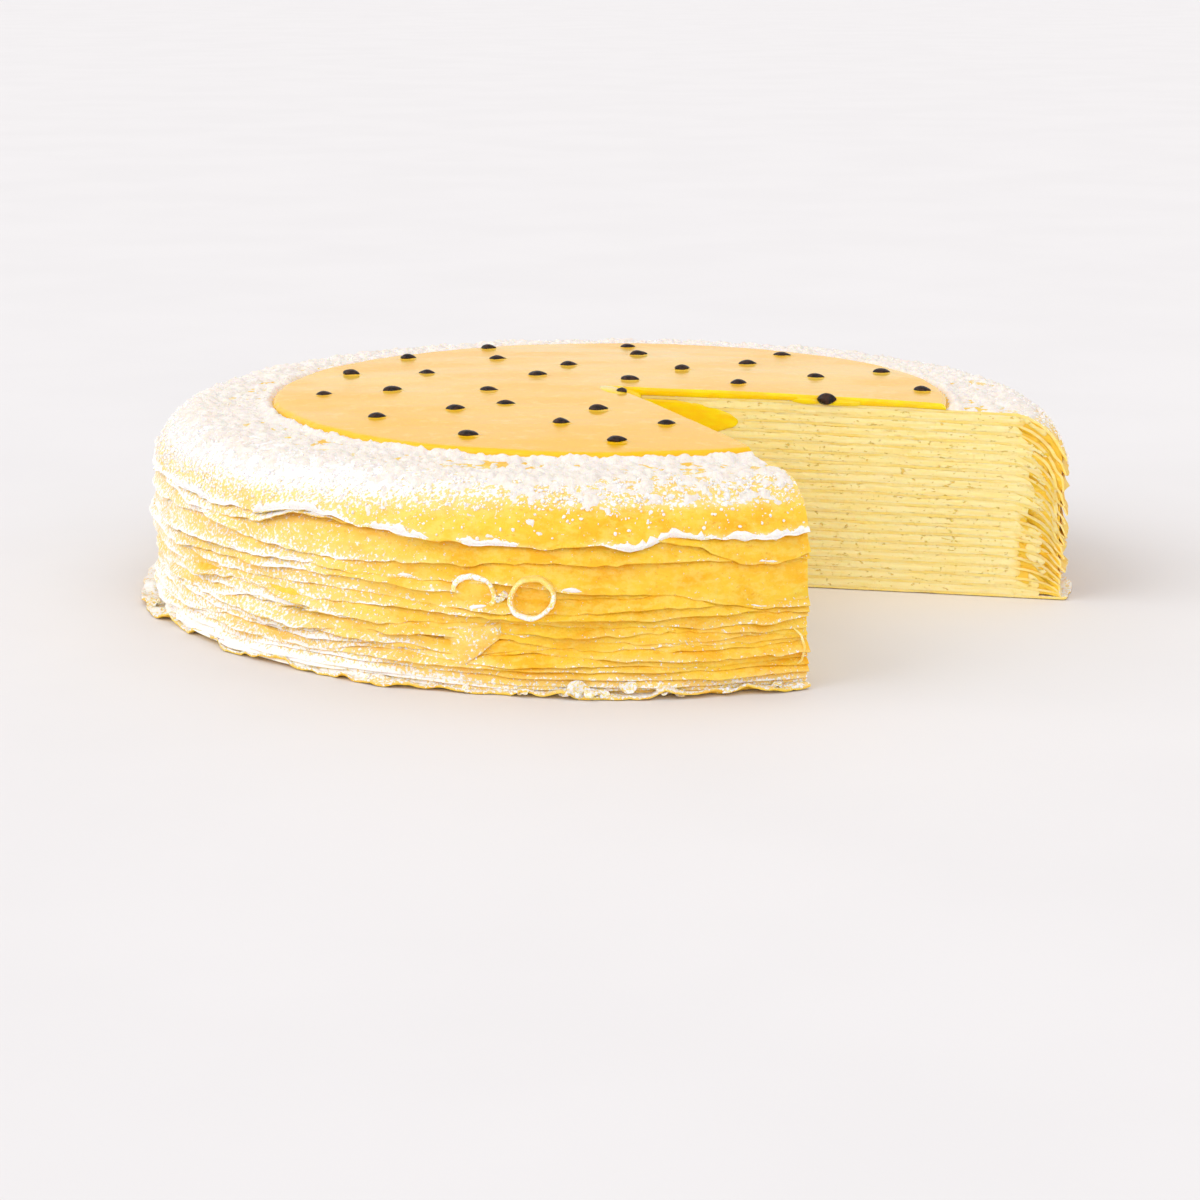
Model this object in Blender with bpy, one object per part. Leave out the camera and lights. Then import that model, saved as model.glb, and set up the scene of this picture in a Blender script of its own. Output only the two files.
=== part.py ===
"""A whole crepe cake with one slice cut out: twenty thin crepes, pastry cream between them and a disc of
fruit glaze on top. Metres, +Z up, origin on the cake's axis at the surface that it stands on.

Every layer is a flat disc out to the bend. There a crepe turns down and hangs over the edges of those below it,
and the few that hang longest make the overlapping hems that the side shows."""

from math import cos, exp, pi, radians, sin, sqrt

import bmesh
import bpy
from mathutils import Vector, noise

# The whole cake
WALL_RADIUS = 0.114
CREPE_COUNT = 20
CREPE_THICKNESS = 0.0008
CREAM_THICKNESS = 0.0010
CONTACT_GAP = 0.0003
LAYER_PITCH = CREPE_THICKNESS + CREAM_THICKNESS + 2 * CONTACT_GAP

# The cut slice, as bearings about +Z, counted from +X
NEAR_CUT = radians(-68.0)
FAR_CUT = radians(-12.5)
KEPT_ANGLE = 2 * pi - (FAR_CUT - NEAR_CUT)
CREPE_STEPS = 28
CREAM_STEPS = 12
GLAZE_STEPS = 32

# How a crepe turns down at its edge
BEND_WIDTH = 0.013
BEND_RADIUS = WALL_RADIUS - BEND_WIDTH
BEND_ANGLES = [radians(angle) for angle in (0, 35, 62, 80)]
SHORT_BEND_ANGLES = [radians(angle) for angle in (0, 32, 56)]
SHORT_BEND_PLAY = radians(10.0)
PRESSED_HEIGHT = 0.020
HEM_LEAN = 0.0018
HEM_LEAN_POWER = 4
HEM_PLAY = 0.0008

# Crepe number, counted from the bottom, and the height of its hem. The others end inside the wall.
HEM_HEIGHTS = {20: 0.034, 17: 0.024, 14: 0.0175, 12: 0.0145, 10: 0.0115, 8: 0.0085, 6: 0.0058, 4: 0.0018}

# The lowest crepe lies flat and reaches past the wall as a skirt
SKIRT_RADIUS = 0.1165
SKIRT_PLAY = 0.0016

CREAM_RADIUS = BEND_RADIUS - 0.0005

GLAZE_RADIUS = 0.0855
GLAZE_EDGE_THICKNESS = 0.0018
GLAZE_DOME = 0.0014
GLAZE_ROUNDING = 0.0009
GLAZE_PLAY = 0.0004

# Unevenness round the cake
WALL_PLAY = 0.0007
SLOW_WAVES = 1.6
QUICK_WAVES = 4.5


def waver(bearing, waves, seed):
    """A smooth uneven value from about -1 to 1 that changes with the bearing."""
    return 1.6 * noise.noise(Vector((waves * cos(bearing), waves * sin(bearing), 7.3 * seed)))


def wall_shift(bearing):
    """How far the cake is out of round there, the same in every layer, so that the layers keep nesting."""
    return WALL_PLAY * waver(bearing, SLOW_WAVES, 0.4)


def crepe_base(number):
    """Height of the underside of a crepe's flat middle."""
    return (number - 1) * LAYER_PITCH


def bend_drop(number):
    """How far a crepe falls in a full bend. The weight above presses the low ones nearly flat."""
    pressed = 1 - exp(-crepe_base(number) / PRESSED_HEIGHT)
    least_pressed = 1 - exp(-crepe_base(CREPE_COUNT) / PRESSED_HEIGHT)
    return BEND_WIDTH * pressed / least_pressed


def short_crepe_top(number, bearing):
    """Upper side of a crepe that ends inside the wall, from the bend outwards, as radius and height."""
    top = crepe_base(number) + CREPE_THICKNESS
    drop = bend_drop(number)
    ends_early = SHORT_BEND_PLAY * max(0.0, waver(bearing, QUICK_WAVES, number))
    reach = (SHORT_BEND_ANGLES[-1] - ends_early) / SHORT_BEND_ANGLES[-1]
    return [
        (BEND_RADIUS + BEND_WIDTH * sin(angle * reach), top - drop * (1 - cos(angle * reach)))
        for angle in SHORT_BEND_ANGLES
    ]


def long_crepe_top(number, bearing):
    """Outer side of a crepe that hangs over the edges below it, down to its hem, as radius and height."""
    top = crepe_base(number) + CREPE_THICKNESS
    drop = bend_drop(number)
    hem = HEM_HEIGHTS[number]
    play = min(HEM_PLAY, hem / 5)
    hem += play * waver(bearing, QUICK_WAVES, number)
    points = []
    for angle in BEND_ANGLES:
        height = top - drop * (1 - cos(angle))
        lean = HEM_LEAN * ((top - height) / (top - hem)) ** HEM_LEAN_POWER
        points.append((BEND_RADIUS + BEND_WIDTH * sin(angle) + lean, height))
    last_radius = WALL_RADIUS + HEM_LEAN
    if top - hem < drop:
        last_radius = BEND_RADIUS + BEND_WIDTH * sqrt(1 - (1 - (top - hem) / drop) ** 2) + HEM_LEAN
    points.append((last_radius, hem))
    return points


def underside(upper):
    """The lower side of a sheet whose upper side is given, square to it, in the same order."""
    lower = []
    for index, (radius, height) in enumerate(upper):
        before = upper[max(index - 1, 0)]
        after = upper[min(index + 1, len(upper) - 1)]
        run = after[0] - before[0]
        fall = before[1] - after[1]
        if index == 0:
            run, fall = 1.0, 0.0
        length = sqrt(run * run + fall * fall)
        lower.append((radius - CREPE_THICKNESS * fall / length, height - CREPE_THICKNESS * run / length))
    return lower


def crepe_profile(number, bearing):
    """Outline of a hanging crepe's cut edge at a bearing, from the axis out along the top and back below."""
    outline_of = long_crepe_top if number in HEM_HEIGHTS else short_crepe_top
    upper = outline_of(number, bearing)
    lower = underside(upper)
    top = crepe_base(number) + CREPE_THICKNESS
    shift = wall_shift(bearing)
    edge = [(radius + shift, height) for radius, height in upper + lower[::-1]]
    return [(0.0, top)] + edge + [(0.0, top - CREPE_THICKNESS)]


def skirt_profile(bearing):
    """The lowest crepe, flat on the surface that the cake stands on."""
    radius = SKIRT_RADIUS + wall_shift(bearing) + SKIRT_PLAY * waver(bearing, QUICK_WAVES, 1)
    return [(0.0, CREPE_THICKNESS), (radius, CREPE_THICKNESS), (radius, 0.0), (0.0, 0.0)]


def cream_profile(number):
    """A layer of pastry cream, on the crepe of the same number."""
    base = crepe_base(number) + CREPE_THICKNESS + CONTACT_GAP
    top = base + CREAM_THICKNESS
    return [(0.0, top), (CREAM_RADIUS, top), (CREAM_RADIUS, base), (0.0, base)]


def glaze_profile(bearing):
    """The glaze disc, a little thicker towards its middle, with its upper edge rounded."""
    base = crepe_base(CREPE_COUNT) + CREPE_THICKNESS + CONTACT_GAP
    edge_top = base + GLAZE_EDGE_THICKNESS
    radius = GLAZE_RADIUS + GLAZE_PLAY * waver(bearing, QUICK_WAVES, 30)
    domed = [(radius * part, edge_top + GLAZE_DOME * (1 - part * part)) for part in (0.4, 0.75)]
    rounded = [
        (radius - GLAZE_ROUNDING * (1 - sin(angle)), edge_top - GLAZE_ROUNDING * (1 - cos(angle)))
        for angle in (0, pi / 4, pi / 2)
    ]
    return [(0.0, edge_top + GLAZE_DOME)] + domed + rounded + [(radius, base), (0.0, base)]


def swept_solid(name, profile_at, steps, material):
    """One closed solid: a profile carried round the axis from one cut to the other.

    The first and last points of the profile lie on the axis, and the profile itself closes both ends."""
    mesh_maker = bmesh.new()
    first_profile = profile_at(FAR_CUT)
    axis_top = mesh_maker.verts.new((0.0, 0.0, first_profile[0][1]))
    axis_base = mesh_maker.verts.new((0.0, 0.0, first_profile[-1][1]))
    stations = []
    for step in range(steps + 1):
        bearing = FAR_CUT + KEPT_ANGLE * step / steps
        stations.append(
            [
                mesh_maker.verts.new((radius * cos(bearing), radius * sin(bearing), height))
                for radius, height in profile_at(bearing)[1:-1]
            ]
        )
    for here, onward in zip(stations, stations[1:]):
        mesh_maker.faces.new((axis_top, here[0], onward[0]))
        for inner in range(len(here) - 1):
            mesh_maker.faces.new((here[inner], here[inner + 1], onward[inner + 1], onward[inner]))
        mesh_maker.faces.new((axis_base, onward[-1], here[-1]))
    mesh_maker.faces.new([axis_top, axis_base] + stations[0][::-1])
    mesh_maker.faces.new([axis_base, axis_top] + stations[-1])
    bmesh.ops.triangulate(mesh_maker, faces=mesh_maker.faces, quad_method="SHORT_EDGE")
    bmesh.ops.recalc_face_normals(mesh_maker, faces=mesh_maker.faces)
    mesh = bpy.data.meshes.new(name)
    mesh_maker.to_mesh(mesh)
    mesh_maker.free()
    mesh.materials.append(material)
    mesh.shade_smooth()
    mesh.set_sharp_from_angle(angle=radians(35))
    solid = bpy.data.objects.new(name, mesh)
    bpy.context.scene.collection.objects.link(solid)
    return solid


def plain_material(name, colour, roughness):
    """A Principled material, with no metal in it."""
    material = bpy.data.materials.new(name)
    material.use_nodes = True
    shader = material.node_tree.nodes["Principled BSDF"]
    shader.inputs["Base Color"].default_value = (*colour, 1.0)
    shader.inputs["Roughness"].default_value = roughness
    shader.inputs["Metallic"].default_value = 0.0
    return material


def build_cake():
    crepe = plain_material("crepe", (0.90, 0.66, 0.22), 0.6)
    cream = plain_material("cream", (0.94, 0.82, 0.45), 0.5)
    glaze = plain_material("glaze", (0.93, 0.58, 0.12), 0.1)

    swept_solid("crepe_01", skirt_profile, CREPE_STEPS, crepe)
    for number in range(2, CREPE_COUNT + 1):
        swept_solid(
            f"crepe_{number:02d}", lambda bearing: crepe_profile(number, bearing), CREPE_STEPS, crepe
        )
    for number in range(1, CREPE_COUNT):
        swept_solid(f"cream_{number:02d}", lambda bearing: cream_profile(number), CREAM_STEPS, cream)
    swept_solid("glaze", glaze_profile, GLAZE_STEPS, glaze)


for leftover in list(bpy.data.objects):
    bpy.data.objects.remove(leftover)
build_cake()
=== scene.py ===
"""The looks of the crepe cake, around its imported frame: ragged crepes, cut cream, fruit glaze with seeds,
powdered sugar, crepe curls, and a plain pale studio.

Every layer is a sheet round the cake's axis. A point of a sheet is given by how far along the sheet it is
(0 at the axis, 1 where the crepe starts to bend, 2 at its hem) and by its bearing about +Z, from +X."""

from math import cos, pi, radians, sin

import bmesh
import bpy
import numpy as np
from mathutils import Euler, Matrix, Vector


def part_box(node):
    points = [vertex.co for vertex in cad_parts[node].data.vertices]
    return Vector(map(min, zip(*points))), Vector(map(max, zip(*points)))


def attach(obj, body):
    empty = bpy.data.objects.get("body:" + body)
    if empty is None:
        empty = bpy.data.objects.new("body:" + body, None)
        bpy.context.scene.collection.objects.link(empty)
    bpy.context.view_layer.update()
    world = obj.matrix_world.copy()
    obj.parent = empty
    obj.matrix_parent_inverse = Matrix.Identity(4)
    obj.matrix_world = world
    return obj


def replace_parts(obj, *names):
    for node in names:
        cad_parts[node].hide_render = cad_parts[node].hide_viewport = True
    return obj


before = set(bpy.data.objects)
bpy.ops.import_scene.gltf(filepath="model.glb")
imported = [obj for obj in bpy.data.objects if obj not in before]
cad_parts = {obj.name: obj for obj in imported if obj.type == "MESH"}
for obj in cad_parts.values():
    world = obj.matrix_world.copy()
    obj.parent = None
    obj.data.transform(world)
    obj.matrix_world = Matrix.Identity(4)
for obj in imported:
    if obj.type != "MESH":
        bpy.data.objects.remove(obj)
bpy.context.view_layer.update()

MM = 0.001

# The frame's layers
CREPE_COUNT = 20
CREPE_NODES = {number: f"crepe_{number:02d}" for number in range(1, CREPE_COUNT + 1)}
CREAM_NODES = {number: f"cream_{number:02d}" for number in range(1, CREPE_COUNT)}
CREPE_TOPS = {number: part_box(node)[1].z for number, node in CREPE_NODES.items()}
STACK_TOP = CREPE_TOPS[CREPE_COUNT]
GLAZE_LOW, GLAZE_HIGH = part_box("glaze")
GLAZE_RADIUS = GLAZE_HIGH.y - 0.6 * MM

# The frame's form, as the solids have it
NEAR_CUT = radians(-68.0)
FAR_CUT = radians(-12.5)
KEPT_ANGLE = 2 * pi - (FAR_CUT - NEAR_CUT)
WALL_RADIUS = 114 * MM
BEND_WIDTH = 13 * MM
BEND_RADIUS = WALL_RADIUS - BEND_WIDTH
PRESSED_HEIGHT = 20 * MM

# The layers as they are cut
CREPE_THICKNESS = 0.65 * MM
CREPE_UNEVENNESS = 0.19 * MM
HEM_THICKNESS = 0.4 * MM
DOME = 1.2 * MM

# Hem heights by crepe number, in mm, and how far each wanders up and down
MAIN_HEMS = {20: 34.2, 17: 24.0, 14: 17.5, 12: 14.5, 10: 11.5, 8: 8.5, 6: 5.8, 4: 2.4}
HIDDEN_HEMS = {19: 32.6, 18: 28.6, 16: 22.4, 15: 20.2, 13: 16.0, 11: 13.0, 9: 9.9, 7: 7.0, 5: 4.1, 3: 1.5, 2: 0.9}
MAIN_PLAY = 1.15
HIDDEN_PLAY = 2.3

# Where the front's hems were seen to run: bearing in degrees and height in mm
DRAWN_HEMS = {
    20: ((-135, 37.0), (-124, 36.5), (-111, 34.2), (-106, 33.4), (-97, 32.8), (-91, 33.8), (-88, 32.6),
         (-84, 35.4), (-74, 34.4), (-68, 34.8)),
    19: ((-135, 36.0), (-84, 35.0), (-80, 33.0), (-76, 29.6), (-72, 29.2), (-68, 31.0)),
    17: ((-135, 25.5), (-110, 24.6), (-100, 25.2), (-96, 23.6), (-87, 23.5), (-80, 21.6), (-74, 18.9), (-68, 18.6)),
}
DRAWN_FADE = 8.0

FLARE_LENGTH = 4.5 * MM
FLARE = 1.0 * MM
TUCK = 1.1 * MM


# ---------------------------------------------------------------- unevenness

LATTICE_SIZE = 64
LATTICE = np.random.default_rng(11).random((LATTICE_SIZE,) * 3) * 2 - 1


def uneven(x, y, z, seed=0.0):
    """Smooth uneven values from -1 to 1. The coordinates are in cells: about one rise or fall in each."""
    corner, part = [], []
    for value in np.broadcast_arrays(x + 11.7 * seed, y + 5.3 * seed, z + 23.9 * seed):
        whole = np.floor(value)
        corner.append(whole.astype(np.int64))
        share = value - whole
        part.append(share * share * (3 - 2 * share))
    total = 0.0
    for step in range(8):
        offset = ((step >> 2) & 1, (step >> 1) & 1, step & 1)
        weight = 1.0
        index = []
        for axis in range(3):
            weight = weight * (part[axis] if offset[axis] else 1 - part[axis])
            index.append((corner[axis] + offset[axis]) % LATTICE_SIZE)
        total = total + weight * LATTICE[tuple(index)]
    return total


def round_cake(bearing, length, seed):
    """Uneven values that change with the bearing alone, over about this length along the wall."""
    cells = WALL_RADIUS / length
    return uneven(cells * np.cos(bearing), cells * np.sin(bearing), 0.0, seed)


def smooth(value, low, high):
    """0 below low, 1 above high and a soft step between them."""
    part = np.clip((value - low) / (high - low), 0.0, 1.0)
    return part * part * (3 - 2 * part)


def turned(bearing):
    """A bearing in degrees from -180 to 180."""
    return (np.degrees(bearing) + 180) % 360 - 180


def polar(radius, bearing, height):
    radius, bearing, height = np.broadcast_arrays(radius, bearing, height)
    return np.stack([radius * np.cos(bearing), radius * np.sin(bearing), height], axis=-1)


# ---------------------------------------------------------------- the form of the layers

def bend_drop(number):
    """How far a crepe falls in a full bend: the low ones are pressed nearly flat."""
    base = CREPE_TOPS[number] - CREPE_TOPS[1]
    pressed = 1 - np.exp(-base / PRESSED_HEIGHT)
    least_pressed = 1 - np.exp(-(STACK_TOP - CREPE_TOPS[1]) / PRESSED_HEIGHT)
    return max(BEND_WIDTH * pressed / least_pressed, 0.4 * MM)


def bend_curve(number):
    """Length along the sheet from the bend's start, with the radius and the fall there."""
    drop = bend_drop(number)
    angle = np.linspace(0, pi / 2, 80)
    radius = BEND_RADIUS + BEND_WIDTH * np.sin(angle)
    fall = drop * (1 - np.cos(angle))
    length = np.concatenate([[0.0], np.cumsum(np.hypot(np.diff(radius), np.diff(fall)))])
    straight = 40 * MM
    return np.append(length, length[-1] + straight), np.append(radius, WALL_RADIUS), np.append(fall, drop + straight)


BEND_CURVES = {number: bend_curve(number) for number in range(2, CREPE_COUNT + 1)}


def hem_height(number, bearing):
    """Height of a crepe's ragged hem."""
    main = number in MAIN_HEMS
    height = MAIN_HEMS[number] if main else HIDDEN_HEMS[number]
    play = MAIN_PLAY if main else HIDDEN_PLAY
    limit = min(1.0, height / 9)
    height = height + limit * play * round_cake(bearing, 26 * MM, number)
    if number in DRAWN_HEMS:
        degrees = turned(bearing)
        places, heights = np.array(DRAWN_HEMS[number]).T
        drawn = smooth(degrees, places[0], places[0] + DRAWN_FADE) * smooth(-degrees, 60.0, 64.0)
        height = height + (np.interp(degrees, places, heights) - height) * drawn
    height = height + limit * 0.5 * round_cake(bearing, 7 * MM, number + 40)
    height = height + limit * 0.35 * round_cake(bearing, 2.2 * MM, number + 80)
    return np.maximum(height, 0.35 + 0.1 * number) * MM


def cover_height(number, bearing):
    """The lowest hem of the crepes above this one."""
    heights = [hem_height(above, bearing) for above in range(number + 1, min(number + 5, CREPE_COUNT) + 1)]
    return np.min(heights, axis=0) if heights else np.full(np.shape(bearing), STACK_TOP)


def layer_wave(x, y, height):
    """How far the layers wave up and down, nearly the same for neighbours."""
    slow = 0.34 * uneven(x / (22 * MM), y / (22 * MM), height / (13 * MM), 3)
    quick = 0.16 * uneven(x / (7 * MM), y / (7 * MM), height / (4.5 * MM), 4)
    firm = np.clip(height / (8 * MM), 0, 1)
    return (slow + quick) * firm * MM


def dome(radius, height):
    """How much the middle of the cake stands above its edge."""
    return DOME * height / STACK_TOP * (1 - np.minimum(radius / BEND_RADIUS, 1.0) ** 2)


def sheet_line(number, along, bearing):
    """Radius and height of a crepe's outer side."""
    length, radii, falls = BEND_CURVES[number]
    top = CREPE_TOPS[number]
    hem = hem_height(number, bearing)
    reach = np.interp(top - hem, falls, length)
    distance = np.maximum(along - 1, 0) * reach
    radius = np.where(along <= 1, along * BEND_RADIUS, np.interp(distance, length, radii))
    height = top - np.interp(distance, length, falls)
    from_hem = reach - distance
    hanging = smooth(along, 1.0, 1.25)
    steep = smooth(along, 1.2, 1.7)

    flare = FLARE * np.clip(1 + 1.1 * round_cake(bearing, 11 * MM, number + 120), 0.05, 2.0)
    flare = flare * np.clip(1 - from_hem / FLARE_LENGTH, 0, 1) ** 2 * min(1.0, top / (6 * MM))
    if number < 17:
        flare = flare * (0.25 + smooth(round_cake(bearing, 24 * MM, number + 160), -0.30, 0.25))
    tuck = TUCK * smooth(height, cover_height(number, bearing) - 0.8 * MM, cover_height(number, bearing) + 1.5 * MM)
    x, y = radius * np.cos(bearing), radius * np.sin(bearing)
    wrinkle = 0.30 * uneven(x / (11 * MM), y / (11 * MM), height / (2.1 * MM), 5)
    wrinkle = wrinkle + 0.16 * uneven(x / (3.2 * MM), y / (3.2 * MM), height / (2.6 * MM), 6 + number)
    pleat = 0.12 * uneven(x / (1.9 * MM), y / (1.9 * MM), height / (8 * MM), 7 + number)
    relief = (wrinkle + pleat) * hanging * MM
    radius = radius + (flare + out_of_round(bearing) - tuck) * hanging + relief * steep
    height = height + layer_wave(x, y, top) + dome(radius, top) + relief * (1 - steep)
    return radius, np.maximum(height, 0.25 * MM), from_hem


def out_of_round(bearing):
    """How far the wall stands out of its circle."""
    return (0.8 * round_cake(bearing, 60 * MM, 0.3) + 0.35 * round_cake(bearing, 20 * MM, 0.7)) * MM


def crepe_sheet(number, along, bearing):
    """Both sides of a crepe, and how far each point is from its hem."""
    step = 0.01
    radius, height, from_hem = sheet_line(number, along, bearing)
    ahead = sheet_line(number, np.minimum(along + step, 2.0), bearing)
    behind = sheet_line(number, np.maximum(along - step, 0.0), bearing)
    run, fall = ahead[0] - behind[0], behind[1] - ahead[1]
    size = np.hypot(run, fall) + 1e-9
    x, y = radius * np.cos(bearing), radius * np.sin(bearing)
    thickness = CREPE_THICKNESS + CREPE_UNEVENNESS * uneven(x / (5 * MM), y / (5 * MM), 0.0, 30 + number)
    thinned = smooth(from_hem, 0.0, 6 * MM)
    thickness = HEM_THICKNESS + (thickness - HEM_THICKNESS) * thinned
    inner_height = np.maximum(height - thickness * run / size, 0.05 * MM)
    inner = polar(radius - thickness * fall / size, bearing, inner_height)
    return polar(radius, bearing, height), inner, from_hem


def crepe_over(number, radius, bearing):
    """Height of a crepe's upper side at a radius short of the wall."""
    length, radii, falls = BEND_CURVES[number] if number > 1 else BEND_CURVES[2]
    sine = np.clip((radius - BEND_RADIUS) / BEND_WIDTH, 0, 0.98)
    drop = bend_drop(number) if number > 1 else 0.0
    x, y = radius * np.cos(bearing), radius * np.sin(bearing)
    top = CREPE_TOPS[number]
    return top - drop * (1 - np.sqrt(1 - sine * sine)) + layer_wave(x, y, top) + dome(radius, top)


def crepe_under(number, radius, bearing):
    """Height of a crepe's lower side at a radius short of the wall."""
    sine = np.clip((radius - BEND_RADIUS) / BEND_WIDTH, 0, 0.98)
    slope = bend_drop(number) * sine / (BEND_WIDTH * np.sqrt(1 - sine * sine))
    x, y = radius * np.cos(bearing), radius * np.sin(bearing)
    thickness = CREPE_THICKNESS + CREPE_UNEVENNESS * uneven(x / (5 * MM), y / (5 * MM), 0.0, 30 + number)
    return crepe_over(number, radius, bearing) - thickness * np.sqrt(1 + slope * slope)


CREAM_END = 109.6 * MM
CREAM_END_PLAY = 1.2 * MM
CREAM_ROUNDING = 1.4 * MM
CREAM_FILL = 0.4 * MM


def cream_sheet(number, along, bearing):
    """Both sides of a layer of cream. Along is 0 at the axis and 1 at its rounded end."""
    end = CREAM_END + CREAM_END_PLAY * round_cake(bearing, 6 * MM, 200 + number)
    end = end + 0.8 * MM * round_cake(bearing, 1000 * MM, 230 + number)
    radius = along * end
    low = crepe_over(number, radius, bearing)
    high = crepe_under(number + 1, radius, bearing)
    fill = CREAM_FILL * smooth(radius, 100 * MM, 104 * MM)
    middle, half = (low + high) / 2, np.maximum((high - low) / 2, 0.06 * MM) + fill
    past = np.clip((radius - end + CREAM_ROUNDING) / CREAM_ROUNDING, 0, 1)
    half = half * np.sqrt(1 - 0.94 * past * past)
    shifted = radius + out_of_round(bearing) * smooth(radius, 101 * MM, 105 * MM)
    return polar(shifted, bearing, middle + half), polar(shifted, bearing, middle - half), end - radius


def pocket_painted_shade(points):
    """Where the cream between the drooping edges has a hollow, painted deep yellow as shade, from 0 to 1."""
    x, y, z = points[..., 0], points[..., 1], points[..., 2]
    radius = np.hypot(x, y)
    droop = z + 0.9 * np.maximum(radius - 101 * MM, 0)
    place = uneven(radius / (3.6 * MM), (x - y) / (90 * MM), droop / (2.2 * MM), 640)
    share = 0.10 + 0.90 * smooth(place, 0.08, 0.36)
    return share * smooth(radius, 101.5 * MM, 107.0 * MM)


# ---------------------------------------------------------------- making meshes

class Shell:
    """A mesh under construction: points, each with an amount for its material, and faces, each with a slot."""

    def __init__(self):
        self.points, self.amounts, self.faces, self.slots = [], [], [], []
        self.count = 0

    def add(self, points, amount=0.0):
        """Adds an array of points and returns their numbers in the same arrangement."""
        points = np.asarray(points, float)
        shape = points.shape[:-1]
        total = int(np.prod(shape))
        self.points.append(points.reshape(-1, 3))
        self.amounts.append(np.broadcast_to(amount, shape).reshape(-1))
        self.count += total
        return np.arange(self.count - total, self.count).reshape(shape)

    def face(self, corners, slot=0):
        self.faces.extend(corners)
        self.slots.extend([slot] * len(corners))

    def grid(self, numbers, slot=0):
        """Quads over a two-way arrangement of points."""
        a, b, c, d = numbers[:-1, :-1], numbers[1:, :-1], numbers[1:, 1:], numbers[:-1, 1:]
        self.face(np.stack([a, b, c, d], axis=-1).reshape(-1, 4).tolist(), slot)

    def fan(self, centre, ring, slot=0):
        self.face([(int(centre), int(a), int(b)) for a, b in zip(ring[:-1], ring[1:])], slot)

    def stitch(self, first, first_places, second, second_places, slot=0):
        """Triangles between two rows whose places run up alike, whatever the number of points in each."""
        i = j = 0
        corners = []
        while i < len(first) - 1 or j < len(second) - 1:
            first_next = first_places[i + 1] if i < len(first) - 1 else np.inf
            second_next = second_places[j + 1] if j < len(second) - 1 else np.inf
            if first_next <= second_next:
                corner = (int(first[i]), int(first[i + 1]), int(second[j]))
                i += 1
            else:
                corner = (int(first[i]), int(second[j + 1]), int(second[j]))
                j += 1
            if len(set(corner)) == 3:
                corners.append(corner)
        self.face(corners, slot)

    def put_in_scene(self, name, materials):
        """Makes the object, with its faces turned outwards."""
        mesh = bpy.data.meshes.new(name)
        mesh.from_pydata(np.concatenate(self.points).tolist(), [], self.faces)
        mesh.polygons.foreach_set("material_index", self.slots)
        layer = mesh.attributes.new("amount", "FLOAT", "POINT")
        layer.data.foreach_set("value", np.concatenate(self.amounts).astype(np.float32))
        maker = bmesh.new()
        maker.from_mesh(mesh)
        bmesh.ops.recalc_face_normals(maker, faces=maker.faces)
        maker.to_mesh(mesh)
        maker.free()
        mesh.shade_smooth()
        mesh.set_sharp_from_angle(angle=radians(50))
        for material in materials:
            mesh.materials.append(material)
        made = bpy.data.objects.new(name, mesh)
        bpy.context.scene.collection.objects.link(made)
        return made

    def piece(self, name, materials, slot):
        """Makes a piece of the cake with these materials, under the root body. The slot is not used."""
        made = self.put_in_scene(name, materials)
        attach(made, "root")
        return made


CUTS = (FAR_CUT, FAR_CUT + KEPT_ANGLE)
CUT_OUTWARD = (FAR_CUT - pi / 2, FAR_CUT + KEPT_ANGLE + pi / 2)
CUT_INSET = 0.5 * MM / WALL_RADIUS
CUT_DEPTH = 0.1 * MM
HOLLOW_DEPTH = 0.9 * MM


def cut_relief(points, amount, seed):
    """How far a cut face stands out of its plane: knife drag along the layers, and small pores."""
    x, y, z = points[..., 0], points[..., 1], points[..., 2]
    drag = uneven(x / (6 * MM), y / (6 * MM), z / (0.5 * MM), seed)
    rough = uneven(x / (1.1 * MM), y / (1.1 * MM), z / (0.8 * MM), seed + 1)
    pores = smooth(uneven(x / (1.6 * MM), y / (1.6 * MM), z / (0.9 * MM), seed + 2), 0.45, 0.8)
    return amount * (0.45 * drag + 0.35 * rough - 1.2 * pores)


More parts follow.
